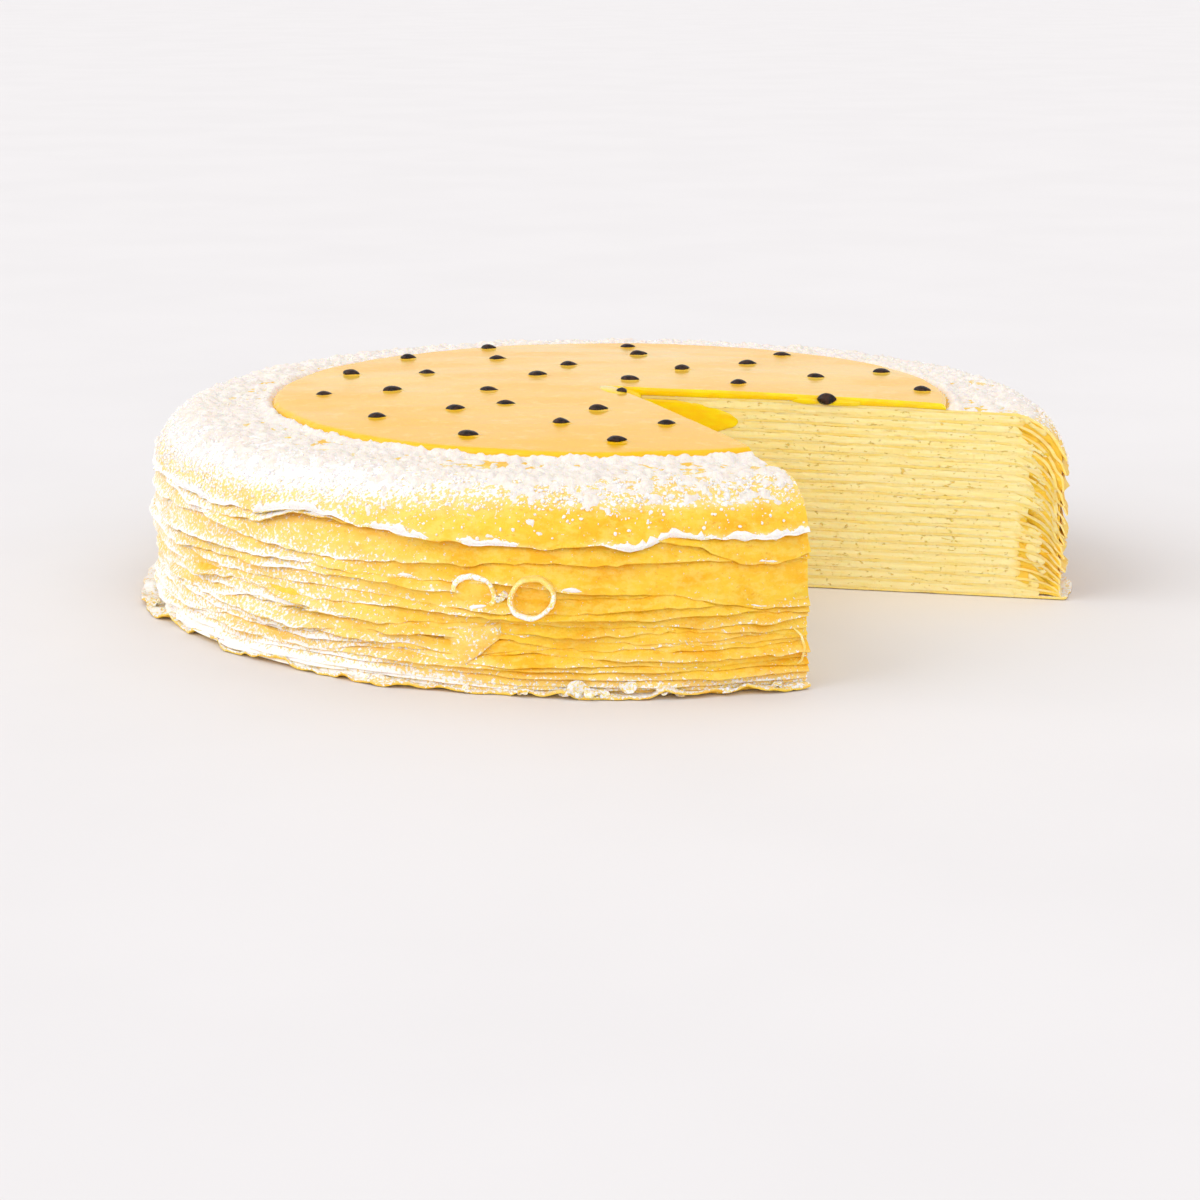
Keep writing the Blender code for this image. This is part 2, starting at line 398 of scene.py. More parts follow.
def layer_shell(sheet, disc_places, band_places, disc_stations, band_stations, under_places, fine_places,
                cut_rows, bulge, roughness, seed, amount_of=None, hollow_and_shade_of=None):
    """A closed layer. Its hidden middle is coarse, its outer band and its two cut faces are fine.

    The places are positions along the sheet. Stations are numbers of bearings. The amounts come from
    amount_of on the outer side, and on a cut face with hollows from their painted shade, which also sinks them."""
    shell = Shell()
    first, last = CUTS[0] + CUT_INSET, CUTS[1] - CUT_INSET
    disc_bearings = np.linspace(first, last, disc_stations)
    band_bearings = np.linspace(first, last, band_stations)

    apex_over, apex_under, _ = sheet(np.array([1e-6]), np.array([FAR_CUT]))
    apex_over, apex_under = apex_over[0], apex_under[0]
    apex_over[:2] = apex_under[:2] = 0.0
    shares = np.linspace(0, 1, cut_rows + 1)
    apex = shell.add(apex_over + (apex_under - apex_over) * shares[:, None])

    rims = []
    for side, places in ((0, band_places), (1, under_places)):
        made = sheet(np.array(disc_places)[None, :], disc_bearings[:, None])
        disc = shell.add(made[side])
        shell.grid(disc)
        shell.fan(apex[0 if side == 0 else -1], disc[:, 0])
        made = sheet(np.array(places)[None, :], band_bearings[:, None])
        amount = amount_of(made[0], made[2]) if amount_of and side == 0 else 0.0
        band = shell.add(made[side], amount)
        shell.grid(band)
        shell.stitch(disc[:, -1], disc_bearings, band[:, 0], band_bearings)
        rims.append((disc, band, [0.0, *disc_places, *places]))
    (over_disc, over_band, over_row), (under_disc, under_band, under_row) = rims
    shell.grid(np.stack([over_band[:, -1], under_band[:, -1]], axis=1))

    for end, (cut, outward) in enumerate(zip(CUTS, CUT_OUTWARD)):
        over, under, from_end = sheet(np.array(fine_places), np.array(cut))
        side = np.array([cos(outward), sin(outward), 0.0])
        rows = over[None] + (under - over)[None] * shares[:, None, None]
        fade = smooth(np.array(fine_places), 0.0, 0.04)[None]
        stand = bulge * 4 * (shares * (1 - shares))[:, None] + cut_relief(rows, roughness, seed)
        amount = amount_of(over, from_end)[None] * (1 - shares)[:, None] ** 2 if amount_of else 0.0
        # Painted shade: the hollows are painted deep yellow by their amount, and sunk as well.
        if hollow_and_shade_of:
            amount = hollow_and_shade_of(rows)
            stand = stand - HOLLOW_DEPTH * amount
        rows = rows + (stand * fade)[..., None] * side
        face = shell.add(rows, amount)
        shell.grid(np.concatenate([apex[:, None], face], axis=1), 1)
        station = 0 if end == 0 else -1
        places = [0.0, *fine_places]
        body = np.concatenate([apex[:1], over_disc[station], over_band[station]])
        shell.stitch(np.concatenate([apex[:1], face[0]]), places, body, over_row)
        body = np.concatenate([apex[-1:], under_disc[station], under_band[station]])
        shell.stitch(np.concatenate([apex[-1:], face[-1]]), places, body, under_row)
        rim = np.array([over_band[station, -1], under_band[station, -1]])
        shell.stitch(face[:, -1], shares, rim, [0.0, 1.0])
    return shell


# ---------------------------------------------------------------- materials

def screen(red, green, blue):
    """A colour as a screen shows it, 0 to 255, in the linear values that shaders take."""
    parts = [value / 255 for value in (red, green, blue)]
    return [part / 12.92 if part <= 0.04045 else ((part + 0.055) / 1.055) ** 2.4 for part in parts] + [1.0]


class Look:
    """A Principled material under construction, patterned by where its points are, in metres."""

    def __init__(self, name, **values):
        self.material = bpy.data.materials.new(name)
        self.material.use_nodes = True
        self.tree = self.material.node_tree
        self.shader = self.tree.nodes["Principled BSDF"]
        for socket, value in values.items():
            self.shader.inputs[socket.replace("_", " ")].default_value = value
        self.place = self.tree.nodes.new("ShaderNodeTexCoord").outputs["Object"]

    def put(self, socket, value):
        if isinstance(value, bpy.types.NodeSocket):
            self.tree.links.new(value, socket)
        else:
            socket.default_value = value

    def coordinate(self, axis):
        """One coordinate of the place, in metres."""
        node = self.tree.nodes.new("ShaderNodeSeparateXYZ")
        self.put(node.inputs[0], self.place)
        return node.outputs[axis]

    def stretched(self, along_x, along_y, along_z):
        """The place, counted in cells of this many millimetres."""
        node = self.tree.nodes.new("ShaderNodeVectorMath")
        node.operation = "MULTIPLY"
        self.put(node.inputs[0], self.place)
        node.inputs[1].default_value = [1 / (size * MM) for size in (along_x, along_y, along_z)]
        return node.outputs[0]

    def noise(self, cell, detail=2.0, roughness=0.5, distortion=0.0):
        node = self.tree.nodes.new("ShaderNodeTexNoise")
        self.put(node.inputs["Vector"], self.stretched(*(cell if isinstance(cell, tuple) else (cell,) * 3)))
        node.inputs["Scale"].default_value = 1.0
        node.inputs["Detail"].default_value = detail
        node.inputs["Roughness"].default_value = roughness
        node.inputs["Distortion"].default_value = distortion
        return node.outputs["Fac"]

    def cells(self, cell, randomness=1.0):
        node = self.tree.nodes.new("ShaderNodeTexVoronoi")
        self.put(node.inputs["Vector"], self.stretched(*(cell if isinstance(cell, tuple) else (cell,) * 3)))
        node.inputs["Scale"].default_value = 1.0
        node.inputs["Randomness"].default_value = randomness
        return node.outputs["Distance"]

    def attribute(self, name):
        node = self.tree.nodes.new("ShaderNodeAttribute")
        node.attribute_name = name
        return node.outputs["Fac"]

    def ranged(self, value, low, high, to_low=0.0, to_high=1.0):
        """The value stretched so that low to high becomes the new range, softly."""
        node = self.tree.nodes.new("ShaderNodeMapRange")
        node.interpolation_type = "SMOOTHSTEP"
        for index, given in enumerate((value, low, high, to_low, to_high)):
            self.put(node.inputs[index], given)
        return node.outputs[0]

    def sum(self, first, second, operation="ADD"):
        node = self.tree.nodes.new("ShaderNodeMath")
        node.operation = operation
        self.put(node.inputs[0], first)
        self.put(node.inputs[1], second)
        return node.outputs[0]

    def mix(self, share, first, second):
        node = self.tree.nodes.new("ShaderNodeMix")
        node.data_type = "RGBA"
        self.put(node.inputs[0], share)
        self.put(node.inputs[6], first)
        self.put(node.inputs[7], second)
        return node.outputs[2]

    def bump(self, height, distance, strength=1.0, under=None):
        node = self.tree.nodes.new("ShaderNodeBump")
        node.inputs["Strength"].default_value = strength
        node.inputs["Distance"].default_value = distance * MM
        self.put(node.inputs["Height"], height)
        if under is not None:
            self.put(node.inputs["Normal"], under)
        return node.outputs["Normal"]

    def finish(self, colour, roughness, normal):
        self.put(self.shader.inputs["Base Color"], colour)
        self.put(self.shader.inputs["Roughness"], roughness)
        self.put(self.shader.inputs["Normal"], normal)
        return self.material


SOFT_SCATTER = [1.0, 0.55, 0.18]


def scattering(look, weight, scale):
    look.shader.inputs["Subsurface Weight"].default_value = weight
    look.shader.inputs["Subsurface Radius"].default_value = SOFT_SCATTER
    look.shader.inputs["Subsurface Scale"].default_value = scale * MM


def crepe_look():
    """Fried crepe: golden, mottled, freckled and pitted, with powdered sugar and a smooth pale tint where the amount
    says; on the left side that tint is partly painted light.
    """
    look = Look("crepe_surface", Specular_IOR_Level=0.35)
    blotches = look.ranged(look.noise((9, 9, 5), 3), 0.35, 0.68)
    colour = look.mix(blotches, screen(250, 202, 50), screen(247, 183, 10))
    lace = look.ranged(look.noise((2.6, 2.6, 1.4), 4, 0.6), 0.44, 0.62)
    colour = look.mix(look.sum(lace, 0.45, "MULTIPLY"), colour, screen(251, 218, 108))
    freckles = look.ranged(look.noise((1.3, 1.3, 0.9), 3, 0.65), 0.60, 0.72)
    colour = look.mix(look.sum(freckles, 0.6, "MULTIPLY"), colour, screen(231, 156, 22))
    # Painted light and sugar haze: a smooth pale tint where the amount is high. On the left side it stands in for
    # light falling from the left as well as for sugar.
    sugar_tint_and_painted_light = look.ranged(look.attribute("amount"), 0.0, 0.5, 0.0, 0.62)
    colour = look.mix(sugar_tint_and_painted_light, colour, screen(251, 229, 166))
    grains = look.noise(0.75, 3, 0.6)
    covered = look.sum(grains, look.sum(look.attribute("amount"), 0.50, "MULTIPLY"))
    covered = look.ranged(covered, 0.66, 0.76)
    colour = look.mix(covered, colour, screen(252, 248, 244))
    pits = look.noise(0.8, 3, 0.6)
    streaks = look.noise((1.0, 1.0, 7.0), 2)
    normal = look.bump(streaks, 0.30, 0.5)
    normal = look.bump(pits, 0.35, 0.7, normal)
    normal = look.bump(covered, 0.15, 0.6, normal)
    roughness = look.ranged(covered, 0.0, 1.0, 0.48, 0.9)
    scattering(look, 0.25, 1.2)
    return look.finish(colour, roughness, normal)


def curl_look():
    """A thin loose piece of crepe: paler than the rest, since light comes through it."""
    look = Look("crepe_curl", Specular_IOR_Level=0.35)
    blotches = look.ranged(look.noise((3, 3, 3), 3), 0.35, 0.65)
    colour = look.mix(blotches, screen(255, 232, 150), screen(250, 206, 92))
    grains = look.noise(0.6, 3, 0.6)
    covered = look.sum(grains, look.sum(look.attribute("amount"), 0.5, "MULTIPLY"))
    covered = look.ranged(covered, 0.68, 0.80)
    colour = look.mix(covered, colour, screen(252, 248, 244))
    normal = look.bump(look.noise(0.8, 3, 0.6), 0.3, 0.7)
    scattering(look, 0.35, 1.5)
    return look.finish(colour, look.ranged(covered, 0.0, 1.0, 0.45, 0.9), normal)


def crepe_cut_look():
    """The cut edge of a crepe: a thin darker line, softened where the knife dragged cream over it."""
    look = Look("crepe_cut", Specular_IOR_Level=0.4)
    smear = look.ranged(look.noise((7, 7, 1.2), 3), 0.40, 0.62)
    colour = look.mix(smear, screen(255, 219, 120), screen(255, 226, 148))
    dark = look.ranged(look.noise((3.5, 3.5, 1.0), 3, 0.6), 0.60, 0.72)
    colour = look.mix(look.sum(dark, 0.5, "MULTIPLY"), colour, screen(250, 198, 60))
    normal = look.bump(look.noise(0.7, 3, 0.6), 0.25, 0.7)
    scattering(look, 0.3, 1.5)
    return look.finish(colour, look.ranged(smear, 0.0, 1.0, 0.5, 0.38), normal)


def cream_look():
    """Pastry cream, cut: pale yellow, smeared along the layers, with small pores painted darker as shade, and painted
    deep yellow shade where the amount says.
    """
    look = Look("pastry_cream", Specular_IOR_Level=0.45)
    streaks = look.ranged(look.noise((10, 10, 0.8), 3), 0.36, 0.64)
    colour = look.mix(streaks, screen(255, 233, 168), screen(255, 226, 146))
    pores = look.ranged(look.noise((1.5, 1.5, 0.7), 2, 0.6), 0.63, 0.69)
    # Painted shade: the pores are painted darker yellow, as the shade inside them.
    colour = look.mix(look.sum(pores, 0.7, "MULTIPLY"), colour, screen(228, 184, 40))
    # Painted shade: deep yellow where the amount marks the hollows between the drooping edges and the cream pressed
    # behind them.
    colour = look.mix(look.attribute("amount"), colour, screen(250, 196, 6))
    normal = look.bump(look.noise(0.9, 3, 0.6), 0.25, 0.6)
    normal = look.bump(look.sum(1.0, pores, "SUBTRACT"), 0.4, 0.8, normal)
    scattering(look, 0.35, 1.8)
    return look.finish(colour, look.ranged(streaks, 0.0, 1.0, 0.36, 0.5), normal)


def glaze_look():
    """Clear fruit gel over the pale crepe: yellow-orange, wet and slightly rippled."""
    look = Look("fruit_glaze", IOR=1.31)
    clouds = look.ranged(look.noise((40, 18, 22), 3), 0.32, 0.68)
    colour = look.mix(clouds, screen(255, 203, 76), screen(252, 189, 50))
    # Painted light and shade: the glaze is painted deeper yellow towards its front (-Y) and paler towards its back.
    front = look.ranged(look.coordinate("Y"), -84 * MM, 20 * MM, 1.0, 0.0)
    colour = look.mix(front, colour, screen(250, 187, 8))
    pulp = look.ranged(look.noise((4, 4, 2), 4, 0.6), 0.52, 0.70)
    colour = look.mix(look.sum(pulp, 0.45, "MULTIPLY"), colour, screen(255, 214, 110))
    colour = look.mix(look.attribute("amount"), colour, screen(252, 196, 40))
    ripples = look.noise((24, 8, 9), 2, 0.45, 0.4)
    normal = look.bump(ripples, 0.7, 0.22)
    normal = look.bump(look.noise(1.6, 3, 0.5), 0.08, 0.4, normal)
    scattering(look, 0.25, 2.5)
    return look.finish(colour, look.ranged(clouds, 0.0, 1.0, 0.12, 0.24), normal)


def glaze_cut_look():
    """The gel where it is cut or has run down: deep clear yellow."""
    look = Look("fruit_gel", IOR=1.40, Coat_Weight=0.3, Coat_Roughness=0.05)
    clouds = look.ranged(look.noise((6, 6, 2), 3), 0.35, 0.65)
    colour = look.mix(clouds, screen(255, 218, 4), screen(255, 202, 4))
    normal = look.bump(look.noise(2.2, 2), 0.25, 0.4)
    scattering(look, 0.35, 2.0)
    return look.finish(colour, look.ranged(clouds, 0.0, 1.0, 0.12, 0.2), normal)


def seed_look():
    """A wet fruit seed: near-black brown, finely pitted."""
    look = Look("fruit_seed", IOR=1.33)
    patches = look.ranged(look.noise(1.2, 3), 0.4, 0.65)
    colour = look.mix(patches, screen(26, 15, 12), screen(58, 34, 22))
    normal = look.bump(look.cells(0.45), 0.12, 0.6)
    return look.finish(colour, look.ranged(patches, 0.0, 1.0, 0.25, 0.4), normal)


def sugar_look(name, light, dark):
    """Powdered sugar: pale, matt and granular."""
    look = Look(name, Specular_IOR_Level=0.25)
    clumps = look.ranged(look.noise(1.8, 3), 0.35, 0.65)
    colour = look.mix(clumps, screen(*light), screen(*dark))
    normal = look.bump(look.noise(0.9, 3, 0.6), 0.6, 0.8)
    normal = look.bump(look.noise(0.4, 3, 0.7), 0.22, 0.8, normal)
    scattering(look, 0.2, 0.8)
    return look.finish(colour, look.ranged(clumps, 0.0, 1.0, 0.85, 0.95), normal)


CREPE = crepe_look()
CREPE_CUT = crepe_cut_look()
CREAM = cream_look()
GLAZE = glaze_look()
GEL = glaze_cut_look()
SEED = seed_look()
SUGAR = sugar_look("powdered_sugar", (246, 239, 232), (239, 229, 219))
# Painted light: a lighter copy of the sugar for the hem sugar and the loose grains, brightening them where they lie in
# shade.
SUGAR_PAINTED_LIGHTER = sugar_look("sugar_painted_lighter", (255, 252, 249), (252, 246, 241))
CURL = curl_look()


# ---------------------------------------------------------------- crepes and cream

BAND_STATIONS = 660
DISC_STATIONS = 30
DISC_PLACES = [0.34, 0.67, 0.92]
UNDER_PLACES = [1.0, 1.5, 2.0]
FINE_STEP = 0.5 * MM
SHOWN_HEIGHTS = {20: 20, 19: 8, 18: 8, 17: 13, 16: 4, 15: 4, 14: 7, 13: 3, 12: 4, 11: 3}
SHOWN_OTHERWISE = 3.2
HANGING_STEP = 0.6


def band_places(number):
    """Places along the hanging part of a crepe: few where it is covered and many towards its hem."""
    length = 24.0
    shown = min(SHOWN_HEIGHTS.get(number, SHOWN_OTHERWISE) / length, 0.86)
    count = max(int(shown * length / HANGING_STEP), 5)
    return [1.0, *np.linspace(2 - shown, 2, count)]


def fine_places():
    flat = np.linspace(0, 1, int(BEND_RADIUS / FINE_STEP))[1:]
    hanging = np.linspace(1, 2, 44)[1:]
    return [*flat, *hanging]


def crepe_sugar_and_painted_light(number):
    """The amount of sugar on a crepe's points, from 0 to 1, raised on the left side both for sugar and as painted
    light.
    """
    def amount(points, from_hem):
        x, y, z = points[..., 0], points[..., 1], points[..., 2]
        bearing = np.arctan2(y, x)
        degrees = turned(bearing)
        # Painted light: the left side gets more of every amount below, for its sugar and for the light that falls on
        # it from the left.
        left = smooth(-degrees, 94.0, 136.0) + smooth(degrees, 20.0, 60.0)
        left = np.clip(left, 0, 1)
        sugar_haze_and_painted_light = -0.04 + 0.34 * left + (0.09 + 0.05 * left) * uneven(x / (16 * MM), y / (16 * MM), z / (7 * MM), 60)
        sugar_haze_and_painted_light = sugar_haze_and_painted_light + (0.26 + 0.08 * left) * (1 - smooth(z, 1.5 * MM, 6.5 * MM))
        ledge = np.clip(0.55 + 0.9 * round_cake(bearing, 9 * MM, 300 + number), 0, 1.1)
        ledge = ledge * (1.0 if number == 20 else 0.28 + 0.24 * left) * np.exp(-from_hem / (0.9 * MM))
        if number < 20:
            return np.clip(sugar_haze_and_painted_light + ledge, 0, 1)
        shoulder = smooth(z, 37.0 * MM, 45.6 * MM) * (0.40 + 0.14 * left)
        front = smooth(degrees, -100.0, -94.0) * smooth(-degrees, 60.0, 66.0)
        broken = np.clip(0.6 + 0.9 * round_cake(bearing, 3 * MM, 66), 0, 1.2)
        line = 0.24 * np.exp(-((z - 42.0 * MM) / (0.8 * MM)) ** 2) * front * broken
        return np.clip(sugar_haze_and_painted_light + ledge + shoulder + line, 0, 1)
    return amount


def make_crepes():
    fine = fine_places()
    for number in range(2, CREPE_COUNT + 1):
        shell = layer_shell(
            lambda along, bearing: crepe_sheet(number, along, bearing),
            DISC_PLACES, band_places(number), DISC_STATIONS, BAND_STATIONS, UNDER_PLACES, fine,
            cut_rows=2, bulge=0.02 * MM, roughness=0.13 * MM, seed=500 + number, amount_of=crepe_sugar_and_painted_light(number),
        )
        made = shell.piece(f"crepe_sheet_{number:02d}", [CREPE, CREPE_CUT], "crepe")
        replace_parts(made, CREPE_NODES[number])


def make_creams():
    fine = list(np.linspace(0, 1, int(CREAM_END / FINE_STEP))[1:])
    for number in range(1, CREPE_COUNT):
        shell = layer_shell(
            lambda along, bearing: cream_sheet(number, along, bearing),
            [0.3, 0.6, 0.9], [0.93, 0.97, 0.99, 1.0], 24, 90, [0.93, 0.97, 0.99, 1.0], fine,
            cut_rows=4, bulge=0.04 * MM, roughness=0.16 * MM, seed=600 + number, hollow_and_shade_of=pocket_painted_shade,
        )
        made = shell.piece(f"cream_layer_{number:02d}", [CREAM, CREAM], "cream")
        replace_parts(made, CREAM_NODES[number])


BACKING_START = 99 * MM
BACKING_INSET = 0.6 * MM
BACKING_DEPTH = 0.35 * MM


def make_cut_backing():
    """Cream pressed between the drooping edges at the outer end of both cuts, a little behind the cut face, painted
    deep yellow as shade.
    """
    shell = Shell()
    for cut, outward in zip(CUTS, CUT_OUTWARD):
        wall = WALL_RADIUS + out_of_round(cut) - BACKING_INSET
        radius = np.linspace(BACKING_START, wall, 28)[:, None]
        share = np.linspace(0, 1, 56)[None, :]
        top = crepe_over(CREPE_COUNT, radius, np.array(cut)) - CREPE_THICKNESS
        height = 1.2 * MM + (top - 1.2 * MM) * share
        along, out, up = cut_frame(cut, outward)
        flat = (radius + 0 * share)[..., None] * along + height[..., None] * up
        rough = 0.2 * MM * uneven(radius / (1.5 * MM), height / (1.5 * MM), 0.0, 650)
        # The amount paints this cream deep yellow: painted shade between the drooping edges.
        front = shell.add(flat + (rough - BACKING_DEPTH)[..., None] * out, 0.9)
        back = shell.add(flat - 1.6 * MM * out, 0.9)
        shell.grid(front)
        shell.grid(back)
        for edge in (np.s_[0], np.s_[-1]):
            shell.grid(np.stack([front[edge], back[edge]]))
            shell.grid(np.stack([front[:, edge], back[:, edge]]))
    shell.piece("cream_between_edges_painted_shade", [CREAM], "cream")


def cut_frame(bearing, outward):
    """The directions along a cut face, out of it and up."""
    along = np.array([cos(bearing), sin(bearing), 0.0])
    out = np.array([cos(outward), sin(outward), 0.0])
    return along, out, np.array([0.0, 0.0, 1.0])


def skirt_sheet(along, bearing):
    """The lowest crepe: flat, then a crumpled skirt on the surface below."""
    degrees = turned(bearing)
    wide = 2.4 * smooth(np.abs(degrees), 150.0, 172.0) + 1.2 * round_cake(bearing, 13 * MM, 400)
    wide = wide + 0.5 * round_cake(bearing, 3 * MM, 401)
    edge = WALL_RADIUS + (2.6 + wide) * MM
    radius = np.where(along <= 1, along * BEND_RADIUS, BEND_RADIUS + (along - 1) * (edge - BEND_RADIUS))
    x, y = radius * np.cos(bearing), radius * np.sin(bearing)
    out = smooth(radius, WALL_RADIUS - 1.5 * MM, WALL_RADIUS + 2 * MM)
    lift = np.clip(uneven(x / (4.5 * MM), y / (4.5 * MM), 0.0, 402) + 0.25, 0, 1) * 1.9
    lift = lift + np.clip(uneven(x / (2 * MM), y / (2 * MM), 0.0, 403), 0, 1) * 0.6
    height = CREPE_TOPS[1] + lift * out * MM
    over = polar(radius, bearing, height)
    under = over - np.array([0, 0, CREPE_THICKNESS])
    under[..., 2] = np.maximum(under[..., 2], 0.02 * MM)
    return over, under, edge - radius


def make_skirt():
    flat = list(np.linspace(0, 1, int(BEND_RADIUS / FINE_STEP))[1:])
    band = [1.0, *np.linspace(1.6, 2, 12)]

    def sugar(points, from_hem):
        x, y = points[..., 0], points[..., 1]
        return np.clip(0.50 + 0.35 * uneven(x / (5 * MM), y / (5 * MM), 0.0, 405), 0, 1)

    shell = layer_shell(
        skirt_sheet, DISC_PLACES, band, DISC_STATIONS, BAND_STATIONS, [1.0, *np.linspace(1.7, 2, 6)],
        flat + list(np.linspace(1, 2, 40)[1:]), cut_rows=2, bulge=0.05 * MM, roughness=0.14 * MM, seed=501,
        amount_of=sugar,
    )
    made = shell.piece("crepe_sheet_01", [CREPE, CREPE_CUT], "crepe")
    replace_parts(made, CREPE_NODES[1])


make_crepes()
make_creams()
make_cut_backing()
make_skirt()


# ---------------------------------------------------------------- fruit glaze

GLAZE_DOME = 1.45 * MM
GLAZE_TOP = GLAZE_HIGH.z - GLAZE_DOME - 0.1 * MM
GLAZE_ROUNDING = 1.5 * MM


def glaze_edge(bearing):
    return GLAZE_RADIUS + (0.45 * round_cake(bearing, 15 * MM, 700) + 0.2 * round_cake(bearing, 4 * MM, 701)) * MM


def glaze_over(radius, bearing):
    """Height of the glaze's upper side, short of its rounded edge."""
    x, y = radius * np.cos(bearing), radius * np.sin(bearing)
    wave = 0.14 * uneven(x / (22 * MM), y / (15 * MM), 0.0, 702) + 0.035 * uneven(x / (7 * MM), y / (5 * MM), 0.0, 703)
    return GLAZE_TOP + GLAZE_DOME * (1 - (radius / GLAZE_RADIUS) ** 2) + wave * MM


def glaze_sheet(along, bearing):
    """Both sides of the glaze. Along is 0 at the axis, 1 where its edge starts to round and 2 at its foot."""
    along, bearing = np.broadcast_arrays(along, bearing)
    edge = glaze_edge(bearing)
    angle = np.clip(along - 1, 0, 1) * pi / 2
    radius = np.minimum(along, 1.0) * (edge - GLAZE_ROUNDING) + GLAZE_ROUNDING * np.sin(angle)
    base = crepe_over(CREPE_COUNT, radius, bearing) + 0.03 * MM
    top = glaze_over(radius, bearing)
    over = top - (top - base) * (1 - np.cos(angle))
    return polar(radius, bearing, over), polar(radius, bearing, np.minimum(base, over)), edge - radius


def glaze_depth(points, from_edge):
    """How deep the gel looks, from 0 to 1: most at its rounded edge and in streaks next to it."""
    x, y = points[..., 0], points[..., 1]
    streak = np.clip(uneven(x / (16 * MM), y / (3.5 * MM), 0.0, 705) - 0.1, 0, 1)
    near = np.exp(-from_edge / (7 * MM))
    patches = 0.55 + 0.6 * uneven(x / (5 * MM), y / (5 * MM), 0.0, 706)
    edge = np.exp(-np.maximum(from_edge - 0.4 * MM, 0) / (1.0 * MM)) * patches
    return np.clip(edge + 0.9 * streak * near, 0, 1)


def make_glaze():
    shell = layer_shell(
        glaze_sheet, [0.04, *np.linspace(0.1, 0.86, 24)], [*np.linspace(0.87, 1, 9), *np.linspace(1.12, 2, 8)],
        190, 560, [0.9, 1.0, 2.0], [*np.linspace(0, 1, 170)[1:], *np.linspace(1.1, 2, 10)],
        cut_rows=6, bulge=0.28 * MM, roughness=0.10 * MM, seed=710, amount_of=glaze_depth,
    )
    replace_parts(shell.piece("glaze_disc", [GLAZE, GEL], "glaze"), "glaze")


# The gel that ran down the far cut: its upper and lower borders, as distances from the axis and heights in mm
FILM_TOP = ((0.0, 46.9), (9.0, 46.9), (17.0, 46.8), (22.0, 46.2), (27.0, 45.2), (31.0, 43.8), (33.0, 42.2))
FILM_FOOT = ((0.0, 44.6), (6.0, 41.8), (9.0, 42.0), (14.0, 40.0), (19.0, 40.2), (24.0, 38.6), (28.0, 39.2),
             (31.0, 40.0), (32.5, 41.2), (33.0, 42.0))
FILM_LENGTH = 33 * MM
FILM_THICKNESS = 0.38 * MM


def make_gel_film():
    """Gel that ran down over the layers of the far cut, next to the axis."""
    shell = Shell()
    lengthwise, across = np.linspace(0, 1, 96)[:, None], np.linspace(0, 1, 32)[None, :]
    distance = lengthwise * FILM_LENGTH + across * 0
    top = np.interp(distance / MM, *np.array(FILM_TOP).T) * MM
    foot = np.interp(distance / MM, *np.array(FILM_FOOT).T) * MM
    foot = foot + 0.35 * MM * uneven(distance / (1.6 * MM), 0.0, 0.0, 720)
    height = top + (foot - top) * across
    rim = np.minimum(np.minimum(across / 0.25, (1 - across) / 0.25), (1 - lengthwise) / 0.15)
    thick = np.sqrt(np.clip(1 - (1 - np.clip(rim, 0, 1)) ** 2, 0, 1))
    swell = 0.6 + 0.4 * across + 0.35 * uneven(distance / (4 * MM), height / (2.4 * MM), 0.0, 721)
    along, out, up = cut_frame(FAR_CUT, CUT_OUTWARD[0])
    stand = FILM_THICKNESS * thick * np.clip(swell, 0.25, 1.3) - 0.12 * MM
    flat = distance[..., None] * along + height[..., None] * up
    front = shell.add(flat + (CUT_DEPTH + stand)[..., None] * out, 0.35)
    back = shell.add(flat + (CUT_DEPTH - 0.7 * MM) * out, 0.35)
    shell.grid(front)
    shell.grid(back)
    for edge in (np.s_[0], np.s_[-1]):
        shell.grid(np.stack([front[edge], back[edge]]))
        shell.grid(np.stack([front[:, edge], back[:, edge]]))
    shell.piece("gel_film_on_cut", [GEL], "glaze")


def lump(centre, size, seed, roughness=0.08, turn=0.0, point=0.0, rows=14, sides=24):
    """The points of an uneven egg: half-sizes along its own length, breadth and height, turned about +Z."""
    angle = np.linspace(0, pi, rows + 2)[1:-1, None]
    round_angle = np.linspace(0, 2 * pi, sides, endpoint=False)[None, :]
    x, y, z = np.cos(angle) + 0 * round_angle, np.sin(angle) * np.cos(round_angle), np.sin(angle) * np.sin(round_angle)
    swell = 1 + roughness * uneven(1.7 * x, 1.7 * y, 1.7 * z, seed)
    slim = 1 - point * np.clip(x, -1, 1) ** 2 * 0.5 - 0.25 * point * x
    local = np.stack([x * size[0], y * size[1] * slim, z * size[2] * slim], axis=-1) * swell[..., None]
    ends = np.array([[size[0], 0, 0], [-size[0], 0, 0]], float)
    spin = np.array([[cos(turn), sin(turn), 0], [-sin(turn), cos(turn), 0], [0, 0, 1]])
    return local @ spin + centre, ends @ spin + centre


def add_lump(shell, centre, size, seed, amount=0.0, **shape):
    body, ends = lump(np.asarray(centre, float), size, seed, **shape)
    numbers = shell.add(body, amount)
    tips = shell.add(ends, amount)
    closed = np.concatenate([numbers, numbers[:, :1]], axis=1)
    shell.grid(closed)
    shell.fan(tips[0], closed[0])
    shell.fan(tips[1], closed[-1])


